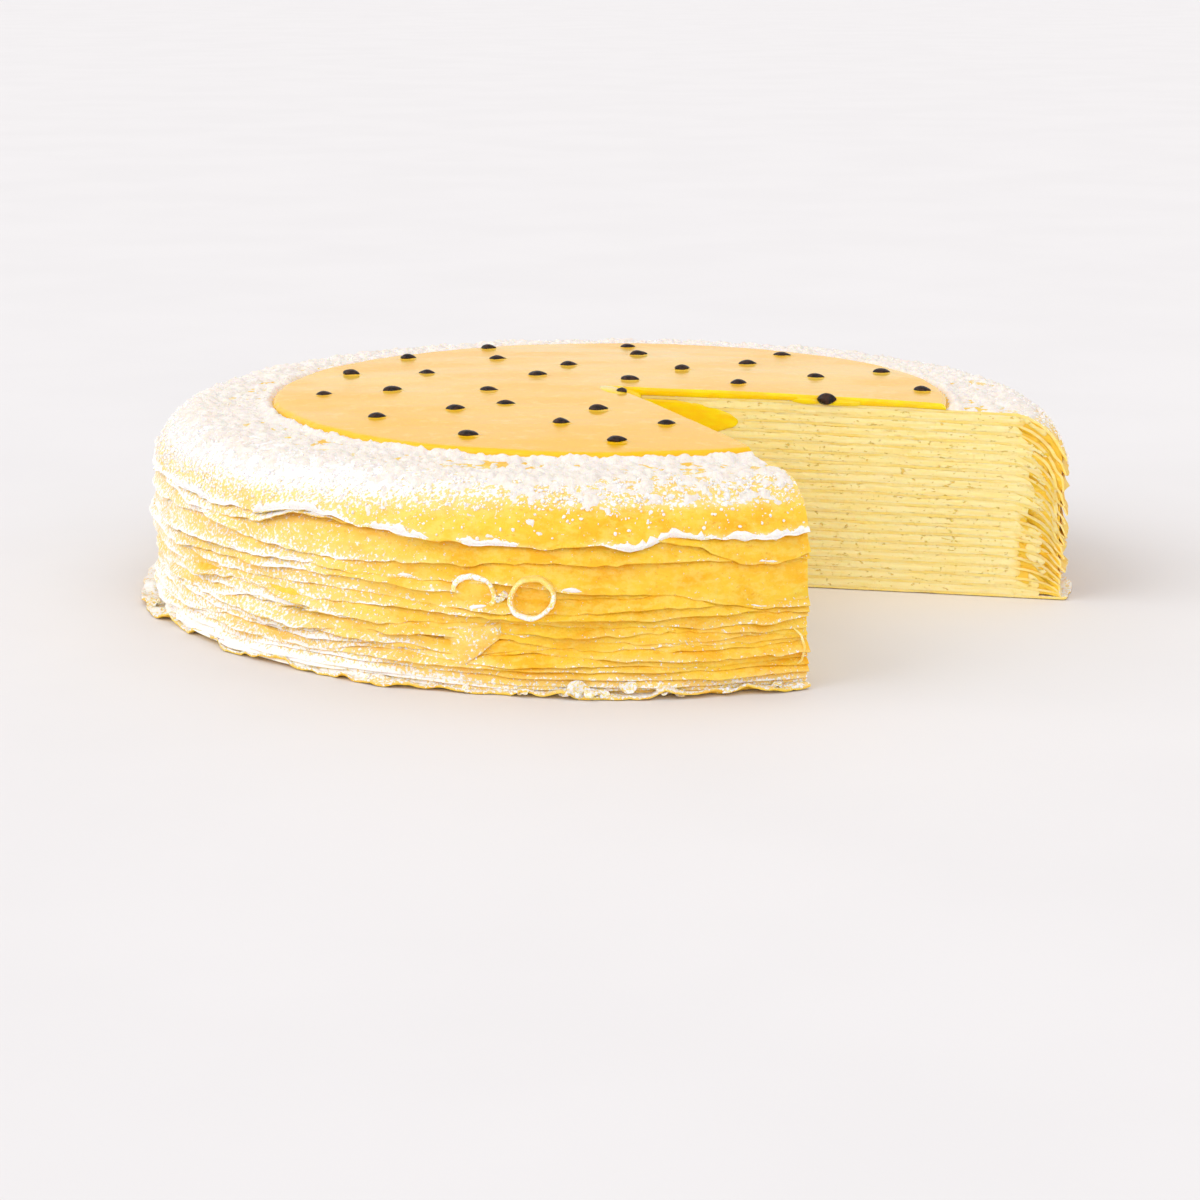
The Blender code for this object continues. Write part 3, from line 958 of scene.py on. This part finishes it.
# Seeds on the glaze: distance from the axis in mm, bearing in degrees, turn of the long side in degrees,
# how far the middle stands above the gel in mm
SEEDS = (
    (11.5, 64, -12, 0.3), (26, 136, 8, 0.25), (31, -170, -14, 0.05), (33, 8, 6, 0.25), (34, -95, 4, 0.3),
    (34, 56, 20, 0.4), (36, -135, -6, -0.15), (37, 107, 10, 0.1), (49, -140, 12, 0.15), (52, -103, -4, 0.2),
    (53, 154, -18, -0.05), (54, 47, 14, 0.15), (54, -76, 5, 0.15), (55, -176, 24, 0.25), (56, 18, -10, 0.1),
    (57, 82, 12, 0.3), (57, 122, -5, 0.1), (69, -144, 8, 0.1), (72, 160, -26, 0.45), (72, -174, 5, -0.05),
    (72.5, -117, -12, 0.3), (73, -89, 10, 0.5), (74, 86, 6, 0.1), (75, 51, -8, 0.1), (76, 136, 12, 0.3),
    (77, 22, 16, 0.25), (79, 0, -14, 0.2), (79.5, 115, -8, 0.2),
)
SEED_HALF_SIZE = (2.3 * MM, 1.5 * MM, 1.0 * MM)
COLLAR_REACH = 1.7 * MM


def make_seeds():
    """Fruit seeds in the glaze, each in a small rise of gel."""
    seeds, collars = Shell(), Shell()
    chance = np.random.default_rng(23)
    for index, (distance, degrees, turn, stand) in enumerate(SEEDS):
        bearing = radians(degrees)
        place = np.array([distance * MM * cos(bearing), distance * MM * sin(bearing), 0.0])
        surface = float(glaze_over(np.array(distance * MM), np.array(bearing)))
        size = [half * chance.uniform(0.9, 1.1) for half in SEED_HALF_SIZE]
        turn = radians(turn)
        centre = place + [0, 0, surface + stand * MM]
        add_lump(seeds, centre, size, 730 + index, turn=turn, point=chance.uniform(0.45, 0.8))
        angle = np.linspace(0, 2 * pi, 33)[None, :]
        out = np.linspace(0, 1, 8)[:, None]
        ragged = 1 + 0.25 * uneven(np.cos(angle), np.sin(angle), 0.0, 760 + index)
        reach = COLLAR_REACH * out * ragged
        length, breadth = size[0] * 0.86 + reach, size[1] * 0.80 + reach * 0.9
        x = length * np.cos(angle) * cos(turn) - breadth * np.sin(angle) * sin(turn) + place[0]
        y = length * np.cos(angle) * sin(turn) + breadth * np.sin(angle) * cos(turn) + place[1]
        level = glaze_over(np.hypot(x, y), np.arctan2(y, x))
        rise = (0.16 + 0.3 * stand) * MM * (1 - out) ** 2.2 - 0.06 * MM * smooth(out, 0.6, 1.0)
        numbers = collars.add(np.stack([x, y, level + rise], axis=-1), 0.0)
        centre_number = collars.add(place + [0, 0, surface], 0.0)
        collars.grid(numbers)
        collars.fan(centre_number, numbers[0])
    add_lump(seeds, EDGE_SEED_PLACE, (2.45 * MM, 1.5 * MM, 1.5 * MM), 790, turn=FAR_CUT + 0.1, point=0.45)
    add_lump(seeds, APEX_SEED_PLACE, (1.6 * MM, 1.3 * MM, 0.9 * MM), 791, turn=-0.9, point=0.5)
    seeds.piece("fruit_seeds", [SEED], "seed")
    collars.piece("gel_round_seeds", [GLAZE], "glaze")


def on_far_cut(distance, height, stand):
    """A place on the far cut's face, from millimetres along it, up it and out of it."""
    along, out, up = cut_frame(FAR_CUT, CUT_OUTWARD[0])
    return (distance * along + height * up + stand * out) * MM


EDGE_SEED_PLACE = on_far_cut(55.2, 48.5, 0.5)
APEX_SEED_PLACE = np.array([2.9, -9.2, 50.0]) * MM


def make_gel_beads():
    """Thick drops of gel: at the point of the slice, and beside the seed on the far cut."""
    shell = Shell()
    add_lump(shell, np.array([0.5, -6.0, 49.65]) * MM, (6.6 * MM, 2.5 * MM, 0.6 * MM), 794, 1.0, turn=NEAR_CUT,
             rows=20)
    add_lump(shell, on_far_cut(0.6, 48.9, 0.2), (4.4 * MM, 1.7 * MM, 1.1 * MM), 795, 1.0, turn=-0.1, rows=20)
    add_lump(shell, on_far_cut(4.6, 47.6, 0.1), (3.4 * MM, 1.0 * MM, 1.5 * MM), 796, 1.0, turn=FAR_CUT, rows=20)
    add_lump(shell, on_far_cut(59.0, 47.7, -0.3), (5.6 * MM, 0.9 * MM, 1.0 * MM), 797, 1.0, turn=FAR_CUT, rows=20)
    add_lump(shell, on_far_cut(50.4, 47.8, -0.3), (4.2 * MM, 0.8 * MM, 0.9 * MM), 798, 1.0, turn=FAR_CUT, rows=20)
    shell.piece("gel_beads", [GEL], "glaze")


# ---------------------------------------------------------------- powdered sugar

SUGAR_STATIONS = 1240
SUGAR_PLACES = 66
SUGAR_FOOT = 0.5 * MM


def sugar_depth(points, along, bearing):
    """Depth of the sugar on the top crepe, below zero where there is none."""
    x, y, z = points[..., 0], points[..., 1], points[..., 2]
    radius = np.hypot(x, y)
    degrees = turned(bearing)
    left = np.clip(smooth(-degrees, 105.0, 160.0) + smooth(degrees, 15.0, 60.0), 0, 1)
    cover = smooth(radius, 84.6 * MM, 86.0 * MM) * (1 - smooth(along, 0.98 + 0.10 * left, 1.76 + 0.20 * left))
    front = smooth(degrees, -100.0, -94.0) * smooth(-degrees, 60.0, 66.0)
    broken = np.clip(0.7 + 0.9 * round_cake(bearing, 3 * MM, 806), 0, 1.2)
    line = 0.36 * np.exp(-((along - 1.47) / 0.035) ** 2) * front * broken
    cover = cover + line + 0.16 * uneven(x / (13 * MM), y / (13 * MM), z / (8 * MM), 801)
    lumps = 0.60 * uneven(x / (1.7 * MM), y / (1.7 * MM), z / (1.7 * MM), 802)
    lumps = lumps + 0.42 * uneven(x / (0.85 * MM), y / (0.85 * MM), z / (0.85 * MM), 803)
    mounds = 0.30 * uneven(x / (4.5 * MM), y / (4.5 * MM), z / (4.5 * MM), 804)
    piled = 0.95 * np.exp(-((radius - 86.9 * MM) / (1.3 * MM)) ** 2)
    return (0.95 * cover - 0.60 + mounds + piled + 1.05 * lumps) * MM


def make_sugar_ring():
    """Powdered sugar heaped round the glaze and thinning out over the shoulder."""
    shell = Shell()
    inset = CUT_INSET
    bearings = np.linspace(CUTS[0] + inset, CUTS[1] - inset, SUGAR_STATIONS)[:, None]
    flat = np.linspace(84.3 * MM / BEND_RADIUS, 1.0, SUGAR_PLACES // 2)
    places = np.concatenate([flat, np.linspace(1.0, 1.92, SUGAR_PLACES // 2 + 1)[1:]])[None, :]
    outer, inner, _ = crepe_sheet(CREPE_COUNT, places, bearings)
    away = outer - inner
    away = away / np.linalg.norm(away, axis=-1, keepdims=True)
    depth = np.maximum(sugar_depth(outer, places, bearings + 0 * places), -0.22 * MM)
    rim = np.minimum(np.arange(SUGAR_STATIONS), np.arange(SUGAR_STATIONS)[::-1])[:, None]
    depth = -0.25 * MM + (depth + 0.25 * MM) * smooth(rim, -0.5, 2.0)
    over = shell.add(outer + away * depth[..., None], 1.0)
    under = shell.add((outer - away * SUGAR_FOOT)[::19, ::6])
    shell.grid(over)
    shell.grid(under)
    shell.piece("sugar_ring", [SUGAR], "sugar")


def grain_places(count, chance):
    """Where loose grains lie: along and round the top crepe, with their sizes."""
    tries = count * 12
    along = chance.uniform(0.845, 1.95, tries)
    bearing = chance.uniform(CUTS[0] + 2 * CUT_INSET, CUTS[1] - 2 * CUT_INSET, tries)
    degrees = turned(bearing)
    left = np.clip(smooth(-degrees, 100.0, 150.0) + smooth(degrees, 15.0, 60.0), 0, 1)
    x, y = np.cos(bearing), np.sin(bearing)
    patch = 0.5 + 0.5 * uneven(9 * x, 9 * y, 4 * along, 810)
    fine_patch = 0.5 + 0.5 * uneven(38 * x, 38 * y, 14 * along, 811)
    shoulder = smooth(along, 1.05, 1.25) * (1 - smooth(along, 1.45 + 0.3 * left, 1.80 + 0.3 * left))
    front = smooth(degrees, -100.0, -94.0) * smooth(-degrees, 60.0, 66.0)
    line = 1.2 * np.exp(-((along - 1.47) / 0.03) ** 2) * front
    low = 0.05 + 0.16 * left
    crumbs = 1.1 * np.exp(-((along - 0.862) / 0.008) ** 2)
    wanted = np.clip(shoulder * (0.25 + 0.9 * patch * fine_patch) + line + low * patch + crumbs + 0.12, 0, 1.6)
    wanted = wanted / 1.6
    kept = np.flatnonzero(chance.random(tries) < wanted)[:count]
    return along[kept], bearing[kept]


def add_grains(shell, centres, sizes, chance):
    """Small uneven twenty-sided grains."""
    maker = bmesh.new()
    bmesh.ops.create_icosphere(maker, subdivisions=1, radius=1.0)
    corners = np.array([vert.co for vert in maker.verts])
    faces = np.array([[vert.index for vert in face.verts] for face in maker.faces])
    maker.free()
    total = len(centres)
    stretch = chance.uniform(0.65, 1.25, (total, 1, 3))
    ragged = chance.uniform(0.8, 1.2, (total, len(corners), 1))
    points = centres[:, None, :] + corners[None] * stretch * ragged * sizes[:, None, None]
    numbers = shell.add(points, 1.0)
    shell.face(numbers[:, faces].reshape(-1, 3).tolist())


GRAIN_COUNT = 5600
GRAIN_SIZES = (0.17, 0.52)


def make_grains():
    """Loose grains and clots of sugar on the shoulder, on the wall and at the foot of the glaze."""
    chance = np.random.default_rng(31)
    shell = Shell()
    along, bearing = grain_places(GRAIN_COUNT, chance)
    outer, inner, _ = crepe_sheet(CREPE_COUNT, along, bearing)
    away = outer - inner
    away = away / np.linalg.norm(away, axis=-1, keepdims=True)
    low, high = GRAIN_SIZES
    sizes = (low + (high - low) * chance.random(len(along)) ** 2) * MM
    add_grains(shell, outer + away * sizes[:, None] * 0.35, sizes, chance)
    shell.piece("sugar_grains", [SUGAR_PAINTED_LIGHTER], "sugar")


# Sugar caught on hems: crepe number, thickness in mm, length of the dashes in mm, share of the hem that has it
HEM_SUGAR = ((20, 0.75, 6.0, 0.55), (19, 0.35, 5.0, 0.2), (17, 0.42, 4.5, 0.34), (14, 0.30, 4.0, 0.14))


def make_hem_sugar():
    """Sugar in broken white lines along the lips of the crepes that hang lowest."""
    shell = Shell()
    for number, thickness, dash, share in HEM_SUGAR:
        bearings = np.linspace(CUTS[0] + 3 * CUT_INSET, CUTS[1] - 3 * CUT_INSET, 760)
        outer, inner, _ = crepe_sheet(number, np.array([[1.985]]), bearings[:, None])
        outer, inner = outer[:, 0], inner[:, 0]
        away = outer - inner
        away = away / np.linalg.norm(away, axis=-1, keepdims=True)
        high = 0.5 + 0.5 * round_cake(bearings, dash * MM, 820 + number)
        amount = smooth(high, 1 - share - 0.12, 1 - share + 0.12)
        lumpy = 1 + 0.8 * round_cake(bearings, 0.8 * MM, 830 + number) + 0.6 * round_cake(bearings, 2.2 * MM, 840)
        half = thickness * MM * amount * np.clip(lumpy, 0.3, 1.8)
        angle = np.linspace(0, 2 * pi, 8)[None, :]
        out = (half * 0.62)[:, None] * np.cos(angle) - 0.14 * MM
        rise = half[:, None] * (0.95 * np.sin(angle) + 0.55)
        ring = outer[:, None, :] + out[..., None] * away[:, None, :]
        ring[..., 2] += rise
        numbers = shell.add(ring, 1.0)
        shell.grid(numbers)
        for end in (0, -1):
            shell.fan(shell.add(ring[end].mean(axis=0), 1.0), numbers[end])
    shell.piece("sugar_on_hems", [SUGAR_PAINTED_LIGHTER], "sugar")


# ---------------------------------------------------------------- curls and flaps of crepe

def wall_place(degrees, height, out):
    """Places by bearing in degrees, height in mm and distance out of the wall in mm."""
    return polar((WALL_RADIUS / MM + out) * MM, np.radians(degrees), np.asarray(height) * MM)


def make_curl(name, degrees, height, width, tall, start, sweep, deep, seed, sugared, slant, inside):
    """A strip of crepe rolled up against the wall, seen from its open end.

    The sweep runs anticlockwise from the start, in degrees, as it is seen from outside. Sugared is how much
    sugar the rim has on average, and how much more at its top. Inside is how far out of the wall the crumpled
    crepe within the curl lies, in mm."""
    shell = Shell()
    angle = np.radians(start + np.linspace(0, sweep, 72))[None, :]
    deep_share = np.linspace(0, 1, 14)[:, None]
    wall = 1.1
    sides = []
    for side in (0.0, wall):
        depth_in = side * (1 + 0.35 * uneven(1.5 * np.cos(angle), 1.5 * np.sin(angle), 0.0, seed + 5))
        bumpy = 1 + 0.05 * uneven(2 * np.cos(angle), 2 * np.sin(angle), deep_share, seed)
        lip = 0.32 * (1 - np.sqrt(np.clip(1 - (np.clip(deep_share - 0.88, 0, 1) / 0.12) ** 2, 0, 1)))
        inward = depth_in + (lip if side == 0.0 else -lip)
        across = (width / 2 - inward) * np.cos(angle) * bumpy
        upward = (tall / 2 - inward) * np.sin(angle) * bumpy + slant * across
        ragged = 0.35 * uneven(3 * np.cos(angle), 3 * np.sin(angle), 0.0, seed + 1)
        out = -2.2 + (deep + ragged + 2.2) * deep_share
        turn = degrees + np.degrees(across * MM / WALL_RADIUS)
        points = wall_place(turn, height + upward, out)
        rim = smooth(deep_share, 0.70, 0.95) * np.clip(sugared[0] + sugared[1] * np.sin(angle), 0, 1)
        sides.append(shell.add(points, 0.1 + 0.9 * rim))
    outer, inner = sides
    shell.grid(outer)
    shell.grid(inner)
    for edge in (np.s_[0], np.s_[-1]):
        shell.grid(np.stack([outer[edge], inner[edge]]))
        shell.grid(np.stack([outer[:, edge], inner[:, edge]]))
    shell.piece(name, [CURL], "crepe")
    filling = Shell()
    half_size = ((width / 2 - 0.3) * MM, 0.9 * MM, (tall / 2 - 0.3) * MM)
    add_lump(filling, wall_place(degrees, height, inside), half_size, seed + 2, 0.3 * sugared[1],
             roughness=0.15, turn=radians(degrees + 90), rows=20)
    filling.piece(name + "_inside", [CREPE], "crepe")


def make_flap(name, top, border, thickness, out, seed, dip):
    """A loose flap of crepe against the wall. Its border runs below its top, as bearings in degrees and heights
    in mm, and its top is tucked in under a hem."""
    shell = Shell()
    places, heights = np.array(border, float).T
    across, down = np.linspace(0, 1, 60)[None, :], np.linspace(0, 1, 44)[:, None]
    degrees = places[0] + (places[-1] - places[0]) * across + 0 * down
    foot = np.interp(degrees, places, heights) + 0.35 * uneven(degrees * 1.3, 0.0, 0.0, seed)
    height = top + (foot - top) * down
    bulge = out + 0.4 * uneven(degrees / 1.7, height / 3.0, 0.0, seed + 1) + 0.15 * uneven(degrees, height, 0.0, seed)
    tucked = np.minimum(np.minimum(down / 0.3, across / 0.35), (1 - across) / 0.14)
    bulge = bulge + 0.7 * down - dip * (1 - smooth(tucked, 0.0, 1.0))
    rim = np.minimum(np.minimum(across, 1 - across) / 0.06, (1 - down) / 0.06)
    half = thickness / 2 * np.sqrt(np.clip(1 - (1 - np.clip(rim, 0, 1)) ** 2, 0.02, 1))
    front = shell.add(wall_place(degrees, height, bulge + half), 0.22 + 0.16 * (1 - np.clip(rim, 0, 1)))
    back = shell.add(wall_place(degrees, height, bulge - half), 0.0)
    shell.grid(front)
    shell.grid(back)
    for edge in (np.s_[0], np.s_[-1]):
        shell.grid(np.stack([front[edge], back[edge]]))
        shell.grid(np.stack([front[:, edge], back[:, edge]]))
    shell.piece(name, [CREPE], "crepe")


def make_ribbon(name, route, widths, thickness, seed, sugared=0.25):
    """A thin wisp of crepe along a route of places by bearing in degrees, height in mm and distance out in mm."""
    shell = Shell()
    steps = np.linspace(0, len(route) - 1, 90)
    degrees, heights, outs = (np.interp(steps, range(len(route)), column) for column in np.array(route, float).T)
    kernel = np.hanning(13) / np.hanning(13).sum()
    padded = [np.convolve(np.pad(column, 6, mode="edge"), kernel, mode="valid") for column in (degrees, heights, outs)]
    degrees, heights, outs = padded
    width = np.interp(steps, range(len(route)), widths) * (1 + 0.2 * uneven(steps * 1.7, 0.0, 0.0, seed))
    line = wall_place(degrees, heights, outs)
    onward = np.gradient(line, axis=0)
    onward = onward / np.linalg.norm(onward, axis=-1, keepdims=True)
    away = np.stack([np.cos(np.radians(degrees)), np.sin(np.radians(degrees)), 0 * degrees], axis=-1)
    away = away + 0.5 * np.stack([0 * degrees, 0 * degrees, np.sin(steps * 2.3)], axis=-1)
    breadth = np.cross(onward, away)
    breadth = breadth / np.linalg.norm(breadth, axis=-1, keepdims=True)
    flat = np.cross(breadth, onward)
    angle = np.linspace(0, 2 * pi, 13)[None, :, None]
    ring = line[:, None] + np.cos(angle) * (width / 2 * MM)[:, None, None] * breadth[:, None]
    ring = ring + np.sin(angle) * thickness / 2 * MM * flat[:, None]
    ring[..., 2] = np.maximum(ring[..., 2], 0.1 * MM)
    numbers = shell.add(ring, sugared)
    shell.grid(numbers)
    for end in (0, -1):
        shell.fan(shell.add(ring[end].mean(axis=0), sugared), numbers[end])
    shell.piece(name, [CURL], "crepe")


# Scraps at the foot: bearing in degrees, height in mm, distance out of the wall in mm, half-length in mm
FLAKES = (
    (-102.3, 21.6, 0.9, 1.4), (-101.7, 22.6, 1.2, 1.0),
    (-94.9, 1.6, 2.2, 1.8), (-93.6, 2.2, 2.4, 2.4), (-92.2, 1.7, 2.6, 2.1), (-91.0, 1.3, 2.4, 1.6),
    (-88.1, 2.6, 2.0, 2.0), (-84.4, 2.0, 2.2, 1.7), (-82.6, 1.2, 2.4, 1.2), (-77.5, 1.2, 2.2, 1.2),
    (-72.0, 1.6, 2.0, 1.6), (-99.5, 1.2, 2.2, 1.2), (-106.0, 1.2, 2.0, 1.1), (-118.0, 1.2, 2.0, 1.1),
    (-163.0, 1.6, 2.6, 1.7), (176.0, 1.6, 2.8, 1.7), (150.0, 1.4, 2.2, 1.4), (122.0, 1.2, 2.0, 1.2),
    (95.0, 1.3, 2.0, 1.3), (71.0, 1.2, 2.0, 1.2), (40.0, 1.3, 2.0, 1.4), (14.0, 1.2, 2.0, 1.2),
)


def make_flakes():
    """Crumpled scraps of crepe and sugar at the foot of the wall."""
    chance = np.random.default_rng(47)
    shell = Shell()
    for index, (degrees, height, out, size) in enumerate(FLAKES):
        centre = wall_place(degrees, height, out)
        tilt = Euler((chance.uniform(-0.4, 0.4), chance.uniform(0.6, 1.2), radians(degrees))).to_matrix()
        tilt = np.array(tilt)
        ring = np.linspace(0, 1, 9)[:, None]
        angle = np.linspace(0, 2 * pi, 25)[None, :]
        shape = 1 + 0.35 * uneven(1.3 * np.cos(angle), 1.3 * np.sin(angle), 0.0, 850 + index)
        x = size * ring * shape * np.cos(angle) * 0.7
        y = size * ring * shape * np.sin(angle)
        crumple = 0.5 * size * uneven(x / size * 1.6, y / size * 1.6, 0.0, 870 + index) + 0.3 * uneven(x, y, 0.0, 880)
        for side in (-0.11, 0.11):
            thin = side * np.sqrt(1.02 - ring ** 2)
            local = np.stack([x, y, crumple + thin], axis=-1) * MM
            points = local @ tilt.T + centre
            points[..., 2] = np.maximum(points[..., 2], 0.06 * MM)
            shell.grid(shell.add(points, 0.55))
    shell.piece("crepe_scraps", [CURL], "crepe")


make_glaze()
make_gel_film()
make_seeds()
make_gel_beads()
make_sugar_ring()
make_grains()
make_hem_sugar()
make_curl("crepe_ring_curl", -98.6, 22.2, 10.4, 9.6, 110.0, 360.0, 3.2, 900, (0.35, -0.35), 0.12, -0.3)
make_curl("crepe_half_curl", -105.1, 22.6, 10.2, 8.4, -35.0, 222.0, 1.5, 905, (0.30, 0.30), -0.1, 0.1)
make_flap("crepe_loose_flap", 16.8, ((-109.0, 13.0), (-108.2, 8.6), (-107.5, 6.5), (-106.6, 5.9), (-105.4, 7.6),
                                     (-104.3, 9.0), (-102.8, 11.6), (-101.6, 13.2)), 0.4, 0.3, 910, 1.4)
make_ribbon("crepe_wisp", ((-69.8, 14.0, 0.5), (-69.0, 12.4, 1.5), (-68.6, 9.4, 1.9), (-68.9, 6.6, 1.6),
                           (-69.6, 5.2, 0.7)), (0.3, 0.5, 0.6, 0.5, 0.3), 0.22, 915)
make_ribbon("sugared_edge_under_curl", ((-106.0, 19.2, 0.6), (-105.3, 19.4, 1.5), (-104.2, 19.8, 1.7),
                                        (-103.1, 19.7, 0.8)), (0.4, 0.9, 1.0, 0.5), 0.5, 922, 1.0)
make_flakes()


# ---------------------------------------------------------------- studio and camera

CAMERA_PLACE = Vector((-2.6, -700.1, 163.8)) * MM
CAMERA_PITCH = radians(13.63)
CAMERA_LENS = 83.85
FLOOR_RADIUS = 14.0
ROOM_LIGHT = 0.86


def floor_look():
    """A matt pale table top with a very slight unevenness."""
    look = Look("pale_floor", Specular_IOR_Level=0.15)
    tone = look.ranged(look.noise(90, 3), 0.3, 0.7)
    normal = look.bump(look.noise(3.0, 2), 0.05, 0.3)
    return look.finish(look.mix(tone, screen(232, 230, 231), screen(230, 228, 229)), 0.8, normal)


def make_floor():
    """A wide pale floor, just below the cake."""
    rings = [0.2, 0.6, 1.5, 4.0, FLOOR_RADIUS]
    bearings = np.linspace(0, 2 * pi, 97)
    shell = Shell()
    numbers = shell.add(np.array([polar(radius, bearings, -0.05 * MM) for radius in rings]))
    shell.grid(numbers)
    shell.fan(shell.add(np.array([0.0, 0.0, -0.05 * MM])), numbers[0])
    shell.put_in_scene("floor", [floor_look()])


def soft_sun(name, towards, strength, angle, colour=(1.0, 1.0, 1.0)):
    """A wide even light from the far end of a direction."""
    light = bpy.data.lights.new(name, "SUN")
    light.energy = strength
    light.angle = radians(angle)
    light.color = colour
    lamp = bpy.data.objects.new(name, light)
    lamp.rotation_euler = Vector(towards).to_track_quat("Z", "Y").to_euler()
    bpy.context.scene.collection.objects.link(lamp)


def make_studio():
    make_floor()
    soft_sun("window_light", (-1.0, -0.25, 0.75), 1.10, 55.0, (1.0, 0.99, 0.97))
    soft_sun("front_light", (0.35, -1.0, 0.35), 0.68, 70.0, (1.0, 0.985, 0.97))
    soft_sun("low_light", (0.0, -1.0, 0.05), 0.22, 30.0, (1.0, 0.97, 0.93))
    world = bpy.data.worlds.new("pale_room")
    world.use_nodes = True
    background = world.node_tree.nodes["Background"]
    background.inputs["Color"].default_value = (1.0, 0.99, 0.995, 1.0)
    background.inputs["Strength"].default_value = ROOM_LIGHT
    bpy.context.scene.world = world
    bpy.context.scene.view_settings.view_transform = "Standard"
    bpy.context.scene.view_settings.look = "None"


def make_camera():
    lens = bpy.data.cameras.new("camera")
    lens.lens = CAMERA_LENS
    lens.sensor_width = 36.0
    lens.clip_start = 0.01
    camera = bpy.data.objects.new("camera", lens)
    camera.location = CAMERA_PLACE
    camera.rotation_euler = Euler((pi / 2 - CAMERA_PITCH, 0.0, 0.0))
    bpy.context.scene.collection.objects.link(camera)
    bpy.context.scene.camera = camera


make_studio()
make_camera()
